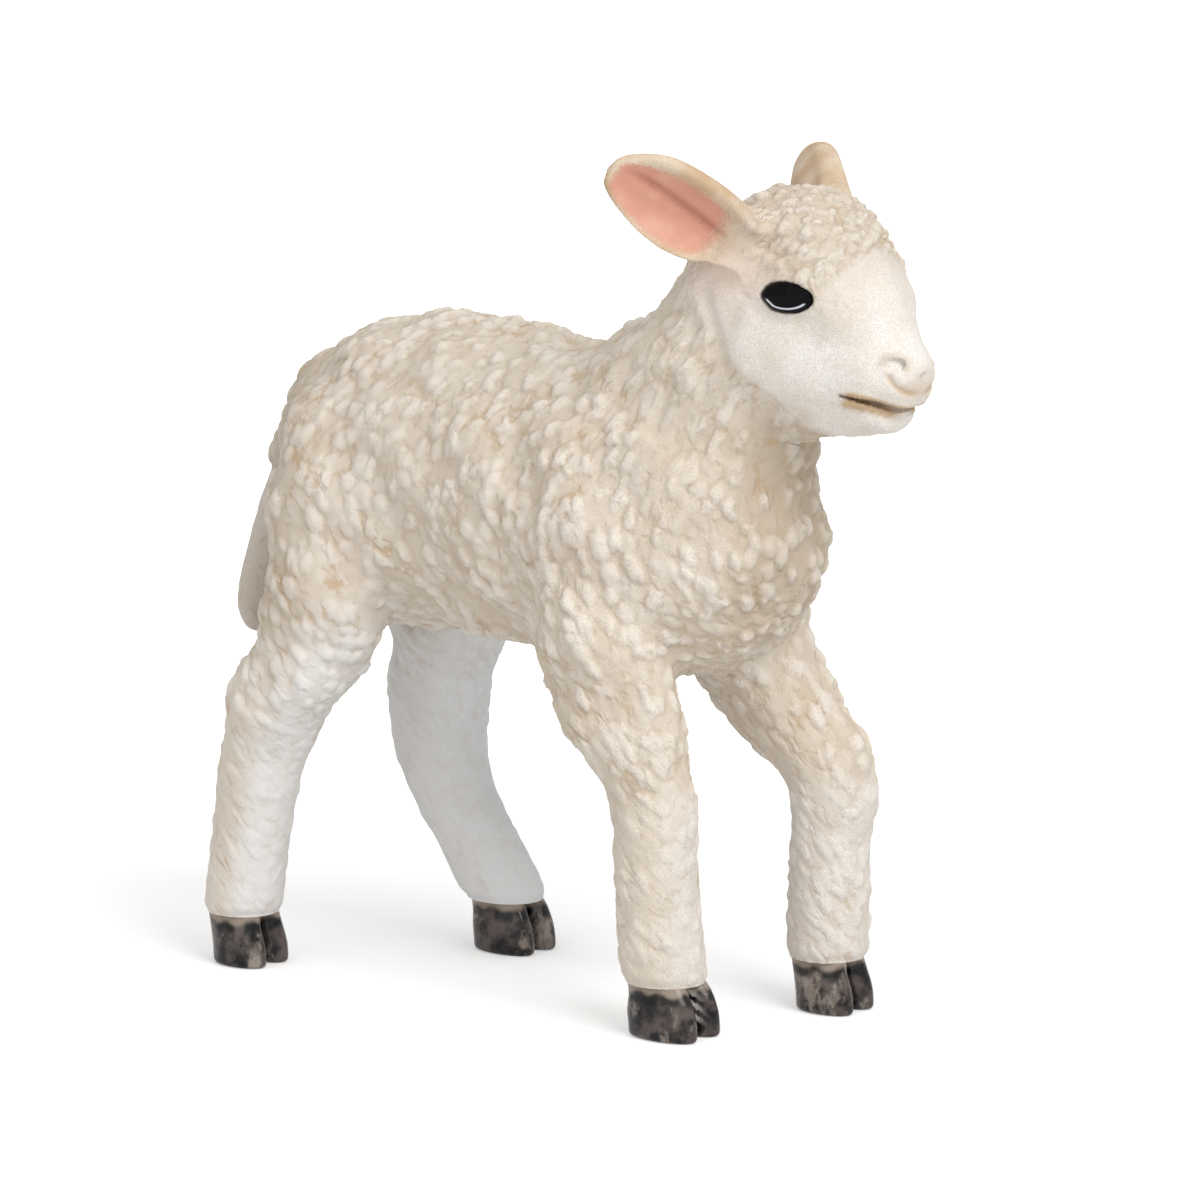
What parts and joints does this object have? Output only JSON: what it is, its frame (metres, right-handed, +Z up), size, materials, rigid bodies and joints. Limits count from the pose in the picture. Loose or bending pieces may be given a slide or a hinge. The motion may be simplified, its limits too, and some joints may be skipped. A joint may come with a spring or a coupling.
{
  "type": "lamb figurine",
  "caption": "Free-standing lamb figurine in mid step, with lumpy painted fleece, cupped ears, bead eyes, a flat tail and cloven hooves.",
  "frame": {"origin": "on the ground, under the middle of the box round the whole figurine", "axes": "+X the way the lamb looks, +Y its left side, +Z up"},
  "size_m": [0.0688, 0.0266, 0.0704],
  "materials": {
    "fleece": "matte cream paint over moulded wool lumps, with an ochre brown wash in the hollows",
    "face": "matte off-white paint, smoother on the muzzle, with a brown mouth line and pinkish cheeks",
    "ear": "matte salmon pink paint in the cup and cream on the back and rim",
    "eye": "gloss black paint",
    "hoof": "half-gloss dark grey brown paint, worn to cream in places"
  },
  "bodies": {
    "root": {"ear_left": "ear", "ear_right": "ear", "eye_left": "eye", "eye_right": "eye", "foreleg_left": "fleece", "foreleg_right": "fleece", "head": "face", "hindleg_left": "fleece", "hindleg_right": "fleece", "hoof_fore_left": "hoof", "hoof_fore_right": "hoof", "hoof_hind_left": "hoof", "hoof_hind_right": "hoof", "tail": "fleece", "torso": "fleece"}
  },
  "joints": []
}
